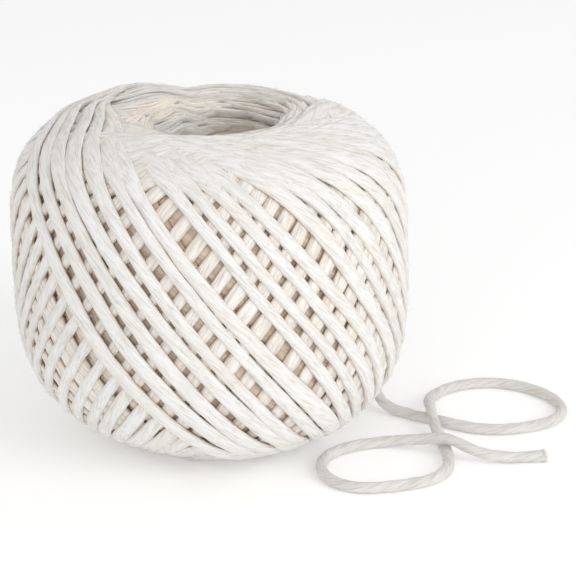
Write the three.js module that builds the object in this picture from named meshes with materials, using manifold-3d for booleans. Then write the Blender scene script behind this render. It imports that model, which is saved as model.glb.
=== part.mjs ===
// A ball of natural white cotton string, standing with its winding axis upright.
//
// The string runs in slanting turns, over the top rim and under the bottom rim, and each turn
// lies one pitch further round the axis. The turns that climb to the left make one family of
// ridges and the turns that climb to the right make the other. Each family is a closed, ridged
// shell that steps outwards at its newest turn, and the wound body is the two joined together,
// with the open hole through its axis cut out and a small flat foot.
//
// The outer end of the string leaves the ball low on its right, behind, and lies on the
// surface in two loops.
//
// Millimetres, +Z up. The origin is on the surface the ball stands on, under its middle, and
// the front of the ball faces -Y. Azimuths are counted from the front, towards +X.

import * as THREE from "three";
import { mergeVertices } from "three/addons/utils/BufferGeometryUtils.js";
import Module from "manifold-3d";

const wasm = await Module();
wasm.setup();

// ---------------------------------------------------------------- driving dimensions

const STRING_DIAMETER = 2.4;

// The wound body, to the outside of its newest turn. Its section is a superellipse, squarer
// above the middle, where the shoulders are broad, than below it.
const BODY = {
  radius: 43.9,
  centreHeight: 35,
  upperReach: 36.6,
  upperSquareness: 4.16,
  lowerReach: 38.3,
  lowerSquareness: 2.61,
  lean: -0.029,
};

// The body's axis, set so that the middle of the ball's box is over the origin.
const AXIS = { x: 0.15, y: -0.03 };

// The winding. A turn reaches the rim latitude above and below, and the next one lies one
// pitch further round. A whole revolution of turns makes the ball thicker by growth.
const WINDING = {
  turns: 45,
  rimLatitude: 58,
  swing: 4.25,
  growth: 4.1,
  newestFalling: -36,
  newestRising: 140,
  levelAtTopRim: 0.55,
  levelAtBottomRim: 0.1,
};

// Each turn's ridge: half the width of its flat crest as a share of the pitch, and its height
// over the valleys, at the middle of the ball and at its rims.
const RIDGE = { halfCrest: 0.24, height: 1.25, heightAtRim: 0.3 };

// How far the hidden family stays under the other one at each rim.
const RIM_BIAS = 1.1;
const ROWS = 26;

// The hole through the axis: a funnel of older, lower and narrower rims at each end, and a
// straight middle. Depths are from the rim above, and from the foot below.
const HOLE_SEGMENTS = 44;
const HOLE_ABOVE = [
  { depth: -4.0, radius: 21.4 },
  { depth: 0.4, radius: 20.4 },
  { depth: 2.2, radius: 19.3 },
  { depth: 4.8, radius: 17.9 },
  { depth: 6.2, radius: 15.6 },
  { depth: 7.4, radius: 15.2 },
  { depth: 9.6, radius: 13.9 },
  { depth: 12.0, radius: 11.6 },
  { depth: 15.0, radius: 9.8 },
];
const HOLE_BELOW = [
  { depth: 13.0, radius: 9.8 },
  { depth: 9.0, radius: 11.6 },
  { depth: 6.0, radius: 13.6 },
  { depth: 3.4, radius: 16.4 },
  { depth: 1.2, radius: 17.6 },
  { depth: -4.0, radius: 18.4 },
];

// The loose end, as the places its middle passes over: out of the ball, down to the surface,
// round the far loop and over itself, round the near loop and over itself, and out to its end.
// A lift is how far the string is held off the surface there.
const LOOSE_END_ROUTE = [
  { x: 37.7, y: 20.8, lift: 14.0 },
  { x: 37.8, y: 18.5, lift: 11.5 },
  { x: 37.7, y: 16.5, lift: 8.6 },
  { x: 37.5, y: 14.7, lift: 5.5 },
  { x: 37.3, y: 12.7, lift: 2.6 },
  { x: 37.8, y: 9.9, lift: 0.6 },
  { x: 39.1, y: 6.7, lift: 0 },
  { x: 41.6, y: 3.6, lift: 0 },
  { x: 49.2, y: -0.9, lift: 0 },
  { x: 53.4, y: -3.6, lift: 0 },
  { x: 58.0, y: -5.7, lift: 0 },
  { x: 63.4, y: -6.2, lift: 0 },
  { x: 69.5, y: -4.5, lift: 0 },
  { x: 74.6, y: -1.2, lift: 0 },
  { x: 77.3, y: 4.4, lift: 0 },
  { x: 76.3, y: 10.8, lift: 0 },
  { x: 72.2, y: 16.6, lift: 0 },
  { x: 66.0, y: 20.3, lift: 0 },
  { x: 59.4, y: 20.6, lift: 0 },
  { x: 53.4, y: 18.0, lift: 0 },
  { x: 49.4, y: 13.2, lift: 0.1 },
  { x: 47.9, y: 7.0, lift: 1.3 },
  { x: 47.7, y: 0.0, lift: 2.7 },
  { x: 48.4, y: -6.8, lift: 1.2 },
  { x: 49.7, y: -13.6, lift: 0 },
  { x: 50.4, y: -21.0, lift: 0 },
  { x: 49.4, y: -28.2, lift: 0 },
  { x: 45.2, y: -33.2, lift: 0 },
  { x: 31.4, y: -36.7, lift: 0 },
  { x: 25.8, y: -33.4, lift: 0 },
  { x: 23.4, y: -27.4, lift: 0 },
  { x: 24.7, y: -20.7, lift: 0 },
  { x: 29.8, y: -15.7, lift: 0 },
  { x: 36.8, y: -13.3, lift: 0.1 },
  { x: 43.6, y: -14.6, lift: 1.2 },
  { x: 50.4, y: -17.8, lift: 2.7 },
  { x: 56.8, y: -21.2, lift: 1.2 },
  { x: 63.8, y: -21.3, lift: 0 },
  { x: 70.8, y: -20.4, lift: 0 },
];
const LOOSE_END_STEPS = 78;
const LOOSE_END_SIDES = 8;

const COTTON = { color: 0xece8e0, roughness: 0.95, metalness: 0 };

// ---------------------------------------------------------------- the winding's geometry

const RIM_TILT = THREE.MathUtils.degToRad(WINDING.rimLatitude);
const PITCH = 360 / WINDING.turns;

// Where a turn is after rising through phase, from -90 at the bottom rim to 90 at the top rim:
// its latitude, and how far round the axis it has gone since the middle, both in degrees.
function alongTurn(phase) {
  const psi = THREE.MathUtils.degToRad(phase);
  const latitude = Math.asin(Math.sin(RIM_TILT) * Math.sin(psi));
  const onCircle = Math.atan2(Math.cos(RIM_TILT) * Math.sin(psi), Math.cos(psi));
  return {
    latitude: THREE.MathUtils.radToDeg(latitude),
    round: THREE.MathUtils.radToDeg(onCircle) + WINDING.swing * Math.sin(2 * psi),
  };
}

// The body's radius from its centre at a latitude in degrees.
function bodyRadius(latitude) {
  const angle = THREE.MathUtils.degToRad(latitude);
  const above = latitude > 0;
  const n = above ? BODY.upperSquareness : BODY.lowerSquareness;
  const reach = above ? BODY.upperReach : BODY.lowerReach;
  const across = (Math.cos(angle) / BODY.radius) ** n;
  const upright = (Math.abs(Math.sin(angle)) / reach) ** n;
  return (across + upright) ** (-1 / n);
}

function leanAt(z) {
  return BODY.lean * (z - BODY.centreHeight);
}

// A point of the body's outer surface, sunk below it by depth towards the ball's centre.
function bodyPoint(azimuth, latitude, depth) {
  const a = THREE.MathUtils.degToRad(azimuth);
  const b = THREE.MathUtils.degToRad(latitude);
  const r = bodyRadius(latitude) - depth;
  const out = r * Math.cos(b);
  const z = BODY.centreHeight + r * Math.sin(b);
  return [AXIS.x + leanAt(z) + out * Math.sin(a), AXIS.y - out * Math.cos(a), z];
}

// A value that is 1 at the middle of the ball and reaches the given values at its rims.
function easeToRims(phase, atBottom, atTop) {
  const share = Math.abs(phase) / 90;
  const rim = phase > 0 ? atTop : atBottom;
  return 1 + (rim - 1) * share ** 3;
}

// ---------------------------------------------------------------- solids

function toSolid(geometry) {
  geometry.deleteAttribute("normal");
  geometry.deleteAttribute("uv");
  const merged = mergeVertices(geometry);
  return new wasm.Manifold(new wasm.Mesh({
    numProp: 3,
    vertProperties: new Float32Array(merged.attributes.position.array),
    triVerts: new Uint32Array(merged.index.array),
  }));
}

function toGeometry(solid) {
  const mesh = solid.getMesh();
  const geometry = new THREE.BufferGeometry();
  geometry.setAttribute("position", new THREE.BufferAttribute(mesh.vertProperties, 3));
  geometry.setIndex(new THREE.BufferAttribute(mesh.triVerts, 1));
  return geometry;
}

// The places across one family of turns: each turn has a valley before it and the two edges of
// its crest. A place's turn count is 0 at the middle of the newest turn.
function placesAcross() {
  const places = [];
  for (let turn = 0; turn < WINDING.turns; turn += 1) {
    places.push({ turn: turn - 0.5, level: turn === 0 ? WINDING.turns : turn, valley: 1 });
    places.push({ turn: turn - RIDGE.halfCrest, level: turn, valley: 0 });
    places.push({ turn: turn + RIDGE.halfCrest, level: turn, valley: 0 });
  }
  return places;
}

// One family of turns as a closed ridged shell: rows run along the turns from the bottom rim
// to the top rim, columns run round the ball, and a fan closes each end inside the hole.
// hand is -1 for turns that go back round the axis as they rise, and 1 for the others.
function familyShell({ hand, newest, halfTurnLater, biasBelow, biasAbove }) {
  const places = placesAcross();
  const columns = places.length;
  const positions = [];
  for (let row = 0; row <= ROWS; row += 1) {
    const phase = -90 + (180 * row) / ROWS;
    const { latitude, round } = alongTurn(phase);
    const grown = easeToRims(phase, WINDING.levelAtBottomRim, WINDING.levelAtTopRim);
    const rimShare = RIDGE.heightAtRim / RIDGE.height;
    const ridge = RIDGE.height * easeToRims(phase, rimShare, rimShare);
    const rimward = (Math.abs(phase) / 90) ** 3;
    const bias = rimward * (phase > 0 ? biasAbove : biasBelow);
    for (const place of places) {
      const turnsBack = Math.max(place.level + halfTurnLater, 0) / WINDING.turns;
      const depth = WINDING.growth * turnsBack * grown + ridge * place.valley + bias;
      const azimuth = newest + PITCH * place.turn + hand * round;
      positions.push(...bodyPoint(azimuth, latitude, depth));
    }
  }
  const index = [];
  for (let row = 0; row < ROWS; row += 1) {
    for (let column = 0; column < columns; column += 1) {
      const next = (column + 1) % columns;
      const a = row * columns + column;
      const b = row * columns + next;
      index.push(a, b, b + columns, a, b + columns, a + columns);
    }
  }
  const top = positions.length / 3;
  positions.push(...bodyPoint(0, 90, 0.5));
  positions.push(...bodyPoint(0, -90, 0));
  for (let column = 0; column < columns; column += 1) {
    const next = (column + 1) % columns;
    index.push(top, ROWS * columns + column, ROWS * columns + next);
    index.push(top + 1, next, column);
  }
  const geometry = new THREE.BufferGeometry();
  geometry.setAttribute("position", new THREE.Float32BufferAttribute(positions, 3));
  geometry.setIndex(index);
  return toSolid(geometry);
}

// The hole through the axis as one turned plug, leaning with the body.
function holePlug() {
  const rimHeight = bodyPoint(0, WINDING.rimLatitude, 0)[2];
  const above = HOLE_ABOVE.map(({ depth, radius }) => new THREE.Vector2(radius, rimHeight - depth));
  const below = HOLE_BELOW.map(({ depth, radius }) => new THREE.Vector2(radius, depth));
  const profile = [...above, ...below].reverse();
  const bottom = new THREE.Vector2(0, profile[0].y);
  const top = new THREE.Vector2(0, profile[profile.length - 1].y);
  const geometry = new THREE.LatheGeometry([bottom, ...profile, top], HOLE_SEGMENTS);
  geometry.rotateX(Math.PI / 2);
  const position = geometry.attributes.position;
  for (let i = 0; i < position.count; i += 1) {
    const z = position.getZ(i);
    position.setXY(i, position.getX(i) + AXIS.x + leanAt(z), position.getY(i) + AXIS.y);
  }
  return toSolid(geometry);
}

// All that lies below the surface the ball stands on.
function groundBlock() {
  const side = 4 * BODY.radius;
  const geometry = new THREE.BoxGeometry(side, side, BODY.radius);
  geometry.translate(0, 0, -BODY.radius / 2);
  return toSolid(geometry);
}

function woundBall() {
  const falling = familyShell({
    hand: -1,
    newest: WINDING.newestFalling,
    halfTurnLater: 0,
    biasBelow: RIM_BIAS,
    biasAbove: 0,
  });
  const rising = familyShell({
    hand: 1,
    newest: WINDING.newestRising,
    halfTurnLater: -0.5,
    biasBelow: 0,
    biasAbove: RIM_BIAS,
  });
  const body = falling.add(rising).subtract(holePlug()).subtract(groundBlock());
  return toGeometry(body);
}

// ---------------------------------------------------------------- the loose end

// The middle line of the loose end, which never comes nearer the surface than the string's
// radius.
class LooseEndLine extends THREE.Curve {
  constructor(route) {
    super();
    const rest = STRING_DIAMETER / 2;
    const points = route.map(({ x, y, lift }) => new THREE.Vector3(x, y, rest + lift));
    this.lowest = rest;
    this.line = new THREE.CatmullRomCurve3(points, false, "centripetal");
  }

  getPoint(t, target = new THREE.Vector3()) {
    this.line.getPoint(t, target);
    target.z = Math.max(target.z, this.lowest);
    return target;
  }
}

function looseEnd() {
  const section = new THREE.Shape();
  for (let side = 0; side < LOOSE_END_SIDES; side += 1) {
    const angle = ((side + 0.5) * 2 * Math.PI) / LOOSE_END_SIDES;
    const x = (STRING_DIAMETER / 2) * Math.cos(angle);
    const y = (STRING_DIAMETER / 2) * Math.sin(angle);
    if (side === 0) {
      section.moveTo(x, y);
    } else {
      section.lineTo(x, y);
    }
  }
  section.closePath();
  return new THREE.ExtrudeGeometry(section, {
    steps: LOOSE_END_STEPS,
    extrudePath: new LooseEndLine(LOOSE_END_ROUTE),
  });
}

// ---------------------------------------------------------------- the object

function piece(name, geometry) {
  const mesh = new THREE.Mesh(geometry, new THREE.MeshStandardMaterial(COTTON));
  mesh.name = name;
  return mesh;
}

const ballOfString = new THREE.Group();
ballOfString.add(piece("string_ball", woundBall()));
ballOfString.add(piece("loose_end", looseEnd()));

export default ballOfString;
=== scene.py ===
"""A ball of natural white cotton string with its outer end lying loose beside it.

The string is laid turn by turn, as a winding machine lays it: up the ball leaning to the left,
over the top rim, down leaning to the left, under the bottom rim, and one pitch further round.
Azimuths are counted from the front of the ball, towards +X, and latitudes from its middle.
Lengths in the tables are millimetres and angles are degrees; the meshes are in metres.
"""

import bpy
import numpy as np
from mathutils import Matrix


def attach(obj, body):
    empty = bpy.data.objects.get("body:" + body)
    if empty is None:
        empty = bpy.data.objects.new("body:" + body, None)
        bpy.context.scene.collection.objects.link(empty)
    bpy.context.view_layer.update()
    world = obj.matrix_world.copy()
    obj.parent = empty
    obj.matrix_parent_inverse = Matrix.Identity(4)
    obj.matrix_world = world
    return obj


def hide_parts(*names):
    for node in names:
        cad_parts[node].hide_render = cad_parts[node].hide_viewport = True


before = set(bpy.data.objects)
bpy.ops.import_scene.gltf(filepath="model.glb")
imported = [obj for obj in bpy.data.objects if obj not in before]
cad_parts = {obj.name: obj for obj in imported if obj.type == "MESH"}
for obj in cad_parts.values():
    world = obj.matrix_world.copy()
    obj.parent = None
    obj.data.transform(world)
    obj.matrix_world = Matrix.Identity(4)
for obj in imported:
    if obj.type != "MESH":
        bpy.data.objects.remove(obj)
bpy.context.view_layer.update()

MM = 0.001
TURN = 360.0

# ---- the ball's sizes

# The body to the outside of its newest turn: a superellipse, squarer above than below, on an
# axis that leans a little to the left.
BODY_RADIUS = 43.2
CENTRE_HEIGHT = 34.5
UPPER_REACH = 37.3
UPPER_SQUARENESS = 4.44
LOWER_REACH = 35.3
LOWER_SQUARENESS = 2.76
LEAN = -0.018
AXIS_X = -0.18
AXIS_Y = -0.03
# The string comes no lower than this above the surface that it lies on.
LOWEST = 0.02

# The winding: turns in one revolution round the ball, revolutions on top of each other, and
# the phase at which the string leaves. SWING makes turns steeper at their middle.
TURNS_ROUND = 44.5
REVOLUTIONS = 5
OLDEST_AGE = REVOLUTIONS * TURNS_ROUND
PITCH = TURN / TURNS_ROUND
RIM_LATITUDE = 58.0
SWING = 4.25
NEWEST_RISING_AT = -33.2
LEAVES_AT = 210.0
STEPS_A_TURN = 200

# How far one revolution lies under the next, away from the rims and at them. A rim gains a
# share of it evenly all round, and the rest within RIM_STEP of a revolution.
GROWTH = 1.8
RIM_GROWTH = 1.75
RIM_GROWTH_SHARE = {"top": 0.55, "bottom": 0.12}
RIM_STEP = 0.13

# The dive under newer turns past a rim: its depth, the degrees past the rim between which the
# string goes down and comes up, and how many newer turns cross it before it does so.
DIVE_UNDER = 0.4
DIVE_DOWN = (2.0, 22.0)
DIVE_UP = (30.0, 80.0)
DIVE_CROSSED = (0.0, 2.0)

# At a rim: how sharply the turns gather, how much wider they are, how unevenly they reach
# past it in degrees and the least they do, how much more so the older ones, and how far each
# degree past it sinks them.
RIM_SHARPNESS = 6
RIM_SPREAD = 0.45
RIM_SCATTER = 2.2
RIM_LEAST = -1.0
OLDER_RIM_AGES = (60.0, 100.0)
OLDER_RIM_SCATTER = 0.6
RIM_SINK = 0.4

# The side of the hole that the turns fill: its azimuth, the cosines of the angle from there
# at which that starts and is full, how many degrees past the rim they reach, and how evenly.
# A turn's top rim lies TOP_RIM_FROM_MIDDLE round the ball from its middle.
HOLE_FILLED_AT = -115.0
HOLE_FILL_COSINES = (0.3, 1.0)
HOLE_FILL = 6.5
HOLE_FILL_EVENNESS = 0.8
TOP_RIM_FROM_MIDDLE = 92.0
# Between the latitudes HOLE_LATITUDES the turns past the rim take on painted warm light.
HOLE_LATITUDES = (RIM_LATITUDE - 1.0, RIM_LATITUDE + 4.0)

# The dark slot under the top rim: the ages of the turns that stay back in it, how many
# degrees back they stay, how many layers of painted shade they get, and above which latitudes.
SLOT_AGES = (164.5, 167.0, 173.5, 176.0)
SLOT_BACK = 8.0
SLOT_SHADE = 5.0
SLOT_LATITUDES = (40.0, 50.0)

# Where the top rim stands higher or lower: azimuth, reach in degrees and height.
RIM_HUMPS = ((-148.0, 13.0, 1.1), (-168.0, 10.0, -0.8), (-97.0, 12.0, 0.9), (98.0, 26.0, 0.8))
HUMP_LATITUDES = (40.0, 54.0)

# Where turns close up side by side, a little wider than their pitch: above the top latitudes,
# below others that depend on which way they go, and mostly so where falling ones lie covered
# on the right side. SHINGLE_TILT is their lean on the next turn where they overlap fully.
CLOSES_ABOVE = (37.0, 48.0)
CLOSES_BELOW = {"rising": 34.0, "falling": 47.0}
CLOSING_REACH = 10.0
SIDE_BY_SIDE = 1.12
RIGHT_SIDE = (22.0, 60.0, 130.0, 160.0)
RIGHT_CLOSING = 0.8
# The share of the painted shade in the gaps that the right side loses:
RIGHT_GAP_SHADE_LIFT = 0.6
SHINGLE_TILT = 34.0

# The layers over a turn: how many degrees round the ball newer turns are laid before they
# first cross its middle, the turns over which a layer arrives, and the share of the layers
# that the rims lie bare of, above BARE_LATITUDES and a little further out below. The count of
# layers sets the painted shade in the cotton's colour.
FIRST_CROSSED = {"rising": 176.0, "falling": 184.0}
LAYER_ARRIVES = (-0.4, 0.6)
BARE_LATITUDES = (RIM_LATITUDE - 12.0, RIM_LATITUDE - 6.0)
BARE_SHARE = 0.89
BARE_LATER_BELOW = 7.0

# How the line wavers: a new value every so many turns, and its usual size.
PATH_WAVER = (0.07, 0.2)
WIDTH_WAVER = (0.06, 0.035)
DEPTH_WAVER = (0.09, 0.07)

# ---- the string's sizes

# Round where it is loose. Wound, its width x thickness is WOUND_SECTION, within limits. The
# falling turns from the ages COVERED_FROM on lie under rising ones and are wider, and every
# turn older than a revolution is wider again.
STRING_DIAMETER = 2.4
WOUND_SECTION = 5.0
WOUND_THICKNESS = (1.25, 1.9)
RISING_WIDTH = 3.7
FALLING_WIDTH = 2.6
COVERED_WIDTH = 3.45
COVERED_FROM = (25.0, 29.0)
OLDER_SPREAD = 0.5
OLDER_FROM = (TURNS_ROUND - 2.0, TURNS_ROUND + 2.0)

# The twist: plies seen round the string, the length of one full twist, and the depth of the
# grooves between plies and of the fibres' relief. A bundle of fibres shows for FIBRE_LENGTH.
WOUND_TWIST = {"plies": 6, "lay": 62.0, "groove": 0.04, "relief": 0.07}
LOOSE_TWIST = {"plies": 4, "lay": 19.0, "groove": 0.08, "relief": 0.045}
FIBRE_LENGTH = 3.5

# How many layers of painted shade a turn's side gets in the gap beside it, and the share of
# that which goes where turns lie closed. The painted shade starts CROWN of the thickness above
# the middle, more where the turn lies covered, and is full GAP_FOOT below it.
GAP_SHADE = 3.6
GAP_CLOSED = 0.85
CROWN = 0.32
COVERED_CROWN = 0.1
GAP_FOOT = 0.3

# The rising turns in front, newest first: how far each stands from an even pitch, in degrees
# round the ball, at latitudes 30, 0 and -25, and its width there. RISING_PLACES are the same
# three places in half turns from the middle.
RISING_TURNS = (
    (5.4, -0.7, 1.2, 3.4, 3.7, 2.9),
    (6.0, 1.4, 2.5, 3.1, 3.4, 3.4),
    (5.8, 1.25, 1.2, 3.2, 3.4, 3.5),
    (2.9, 1.65, 1.7, 3.4, 3.1, 3.1),
    (1.7, -0.75, -0.35, 2.9, 2.6, 3.0),
    (1.25, 0.5, 0.25, 2.6, 2.5, 2.8),
    (-1.5, -2.6, -0.4, 2.9, 3.2, 4.2),
    (2.1, 1.7, -0.6, 2.5, 2.5, 3.0),
    (0.0, 0.25, -1.6, 2.5, 2.5, 2.4),
    (-0.2, 0.1, -2.5, 2.6, 2.9, 3.2),
    (-3.2, -0.3, -3.5, 2.7, 3.1, 3.0),
    (1.2, 0.1, -2.0, 3.6, 3.4, 3.3),
    (0.9, -1.3, -2.0, 2.6, 2.6, 2.6),
    (-0.7, -1.5, -2.0, 3.4, 3.2, 3.0),
)
RISING_PLACES = (-0.2, 0.0, 0.17)
# How far the falling turns in front stand from an even pitch, counted from FIRST_FALLING.
FIRST_FALLING = 16
FALLING_TURNS = (
    1.5, 2.7, 0.6, -1.0, -2.1, -2.7, -2.3, -1.9, -1.7, -2.1, -3.2, -4.0, -4.8, -5.9, -5.0,
    -4.0, -3.0, -2.0, -1.0,
)
# How far the newest turns' top rims stand from the rim's latitude.
NEWEST_RIMS = (-9.0, -7.5, -6.0, -2.5, 0.0, 1.5, 2.0)
# Turns that the tables hold beyond the newest and the oldest.
SPARE_TURNS = 2
# The scatter of the turns with no row of their own, and the share that one part has by itself.
SPACING_SCATTER = 0.9
WIDTH_SCATTER = 0.3
PART_SCATTER = 0.3

# The wound string's pieces from the outside inwards: each one's name, its first and last
# revolution, the steps in a turn, and the sides and bundles of fibres round the string.
WOUND_PIECES = (
    ("turns_newest", 0, 0.5, 200, 20, 16),
    ("turns_outer", 0.5, 1, 200, 20, 16),
    ("turns_second", 1, 2, 130, 12, 11),
    ("turns_third", 2, 3, 96, 10, 9),
    ("turns_fourth", 3, 4, 84, 8, 7),
    ("turns_fifth", 4, 5, 70, 8, 7),
)

# The loose end's route: out of the ball, down to the surface, round the far loop and over
# itself, round the near loop and over itself, and out to its cut end. Each row is x, y and how
# far the string is lifted off the surface.
LOOSE_ROUTE = (
    (35.3, 16.4, 10.9), (36.0, 13.2, 7.6), (36.1, 9.9, 4.6), (36.7, 7.2, 2.2),
    (38.6, 5.7, 0.6), (41.3, 4.0, 0), (44.5, 1.7, 0),
    (49.2, -0.9, 0), (53.4, -3.6, 0), (58.0, -5.7, 0), (63.4, -6.2, 0),
    (69.5, -4.5, 0), (74.6, -1.2, 0), (77.3, 4.4, 0), (76.3, 10.8, 0),
    (72.2, 16.6, 0), (66.0, 20.3, 0), (59.4, 20.6, 0), (53.4, 18.0, 0),
    (49.4, 13.2, 0.1), (47.9, 7.0, 1.3), (47.7, 0.0, 2.7), (48.4, -6.8, 1.2),
    (49.7, -13.6, 0), (50.4, -21.0, 0), (49.4, -28.2, 0), (45.2, -33.2, 0),
    (31.4, -36.7, 0), (25.8, -33.4, 0), (23.4, -27.4, 0), (24.7, -20.7, 0),
    (29.8, -15.7, 0), (36.8, -13.3, 0.1), (43.6, -14.6, 1.2), (50.4, -17.8, 2.7),
    (56.8, -21.2, 1.2), (63.8, -21.3, 0), (70.8, -20.4, 0),
)
# It goes on straight for LEAVES_STRAIGHT, turns from flat to round between the lengths FREED,
# wavers in width, and spreads by a share over the last CUT_REACH. LOOSE_SHADE is how many
# layers of painted shade its underside gets.
LEAVES_STRAIGHT = 2.5
FREED = (3.0, 16.0)
LOOSE_WIDTH = STRING_DIAMETER * 1.04
LOOSE_WAVER = (9.0, 0.035)
CUT_SPREAD = 0.2
CUT_REACH = 5.0
LOOSE_SHADE = 0.25
LOOSE_SPACING = 0.5
LOOSE_SIDES = 28
LOOSE_BUNDLES = 20
LOOSE_BAKE_ROWS = 8

# The tunnel's radius at heights from the foot up, and the oldest turns on its wall: their
# spacing, how many strings start round it in each family and the phase of their waves, how
# proud and how unevenly they stand, where that dies out at the ends, and their cover, which
# below 0 paints warm light on the wall.
TUNNEL = (
    (3.2, 17.0), (6.5, 13.2), (9.0, 11.6), (13.0, 10.4), (20.0, 9.8), (35.0, 9.6), (50.0, 9.8),
    (55.0, 10.6), (58.5, 12.4), (61.5, 15.2),
)
TUNNEL_PITCH = 2.7
TUNNEL_FAMILIES = ((5, 0.0), (-6, 1.7))
TUNNEL_RIDGE = 1.1
TUNNEL_SCATTER = 0.5
TUNNEL_ENDS = 3.0
TUNNEL_COVER = -0.8
TUNNEL_ROWS = 132
TUNNEL_COLUMNS = 170
# The inside's hidden outer side: rows, degrees short of the rim, and reach into the turns.
SHELL_ROWS = 24
SHELL_SHORT_OF_RIM = 3.0
SHELL_OVERLAP = 0.6

# Loose fibres: their lengths, how far they lift, how much they curl, and their radius. Stray
# ones are rooted at a share of the string's section and turn off its line, in radians. The
# cut end's are rooted behind its face and splayed by how far out on it they are.
STRAY_FIBRES = 9000
STRAY = {"lengths": (0.9, 2.8), "lifts": (0.05, 0.26), "curl": 0.5, "radius": 0.05}
STRAY_ROOT = 0.93
STRAY_TURN = 0.55
FRINGE_FIBRES = 130
FRINGE = {"lengths": (0.5, 1.1), "lifts": (0.0, 0.1), "curl": 0.1, "radius": 0.09}
FRINGE_SPLAY = 0.1
FRINGE_ROOT = 0.4
FRINGE_FULLNESS = 0.9
FIBRE_RINGS = 4
FIBRE_SIDES = 3
FIBRE_TAPER = 0.6
FIBRE_COVER = 0.3

random = np.random.default_rng(20)


# ---- small shapes of numbers

def ease(x, low, high):
    """0 below low, 1 above high, and 3t^2 - 2t^3 between them."""
    t = np.clip((x - low) / (high - low), 0.0, 1.0)
    return t * t * (3.0 - 2.0 * t)


def band(x, starts, full, ends, gone):
    """1 from full to ends, 0 below starts and above gone, and eased between them."""
    return ease(x, starts, full) * (1.0 - ease(x, ends, gone))


def within_half_turn(angle):
    """The same angle between -180 and 180 degrees."""
    return (angle + 180.0) % TURN - 180.0


def unit(vectors):
    """Each row divided by its length."""
    return vectors / np.linalg.norm(vectors, axis=-1, keepdims=True)


def eased_row(values, places):
    """A row of values read at fractional places, eased from one value to the next."""
    whole = np.floor(places).astype(int)
    return values[whole] + (values[whole + 1] - values[whole]) * ease(places - whole, 0.0, 1.0)


def waver(places, spacing, size):
    """A smooth random line: a random value every spacing along places, eased between them."""
    steps = (places - places.min()) / spacing
    return eased_row(random.normal(0.0, size, int(steps.max()) + 2), steps)


def pick(values, places):
    """Values at fractional places, taken in a straight line between rows, as columns."""
    values = values.reshape(len(values), -1)
    whole = np.minimum(places.astype(int), len(values) - 2)
    part = (places - whole)[:, None]
    return values[whole] * (1.0 - part) + values[whole + 1] * part


# ---- meshes

def corners(grid):
    """The values at the corners of each square of a grid, in the order of a face's points."""
    return np.stack([grid[:-1, :-1], grid[:-1, 1:], grid[1:, 1:], grid[1:, :-1]], -1)


def smooth_mesh(name, points, indices, sizes):
    """A smooth mesh from points in millimetres, its faces' corners, and how many each has."""
    mesh = bpy.data.meshes.new(name)
    mesh.vertices.add(len(points))
    mesh.vertices.foreach_set("co", (points * MM).astype(np.float32).ravel())
    mesh.loops.add(len(indices))
    mesh.loops.foreach_set("vertex_index", indices.astype(np.int32))
    mesh.polygons.add(len(sizes))
    mesh.polygons.foreach_set("loop_start", (np.cumsum(sizes) - sizes).astype(np.int32))
    mesh.polygons.foreach_set("use_smooth", np.ones(len(sizes), bool))
    mesh.update(calc_edges=True)
    return mesh


def set_map(mesh, name, u, v, others=0):
    """A UV map from the corner values of the squares, with the other corners at one place."""
    layer = mesh.uv_layers.new(name=name)
    both = np.stack([u.ravel(), v.ravel()], -1)
    both = np.concatenate([both, np.full((others, 2), 0.001)])
    layer.data.foreach_set("uv", both.astype(np.float32).ravel())


def set_cover(mesh, cover):
    """How deep each point lies in the winding, in layers of turns, for painted light and shade.
    """
    attribute = mesh.attributes.new("cover", "FLOAT", "POINT")
    attribute.data.foreach_set("value", cover.astype(np.float32))


def tube_mesh(name, rings, cover, lay_along, lay_around, bake_rows, joined=False):
    """A closed tube through a grid of points in millimetres, ring after ring.

    Its ends are fans, or it is joined end to end. The lay map holds the length along the
    string in centimetres, and the turns around it with the twist taken out, at the corners of
    each square. The bake map puts each stretch of the string in a row of its own.
    """
    count, sides, _ = rings.shape
    grid = np.arange(count * sides).reshape(count, sides)
    grid = np.concatenate([grid, grid[:, :1]], axis=1)
    grid = np.concatenate([grid, grid[:1]], axis=0) if joined else grid
    quads = corners(grid).reshape(-1, 4)
    points = rings.reshape(-1, 3)
    shade = cover.ravel()
    fans = np.zeros((0, 3), int)
    if not joined:
        points = np.concatenate([points, rings[[0, -1]].mean(axis=1)])
        shade = np.concatenate([shade, cover[[0, -1]].mean(axis=1)])
        first, last = grid[0], grid[-1]
        start = np.stack([np.full(sides, count * sides), first[1:], first[:-1]], -1)
        end = np.stack([np.full(sides, count * sides + 1), last[:-1], last[1:]], -1)
        fans = np.concatenate([start, end])
    indices = np.concatenate([quads.ravel(), fans.ravel()])
    sizes = np.concatenate([np.full(len(quads), 4), np.full(len(fans), 3)])
    mesh = smooth_mesh(name, points, indices, sizes)

    set_map(mesh, "lay", lay_along, lay_around, fans.size)
    step = np.arange(len(grid)) / (len(grid) - 1) * bake_rows
    row = np.minimum(np.floor(step[:-1]), bake_rows - 1)[:, None, None]
    share = corners(np.broadcast_to(step[:, None], grid.shape)) - row
    turned = corners(np.broadcast_to(np.linspace(0.06, 0.94, sides + 1), grid.shape))
    set_map(mesh, "OFBake", np.clip(share, 0.0, 1.0), (row + turned) / bake_rows, fans.size)
    set_cover(mesh, shade)
    return mesh


def in_scene(name, data):
    """A new object in the scene, at its origin."""
    thing = bpy.data.objects.new(name, data)
    bpy.context.scene.collection.objects.link(thing)
    return thing


def piece(mesh, material):
    """A mesh as a piece of the object, finished as the cotton string."""
    thing = in_scene(mesh.name, mesh)
    mesh.materials.append(material)
    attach(thing, "root")
    return thing


# ---- a length of string

def round_angles(sides):
    """The angles round a string's section, from its underside."""
    return np.linspace(0.0, 2 * np.pi, sides, endpoint=False)[None, :] - np.pi / 2


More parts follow.
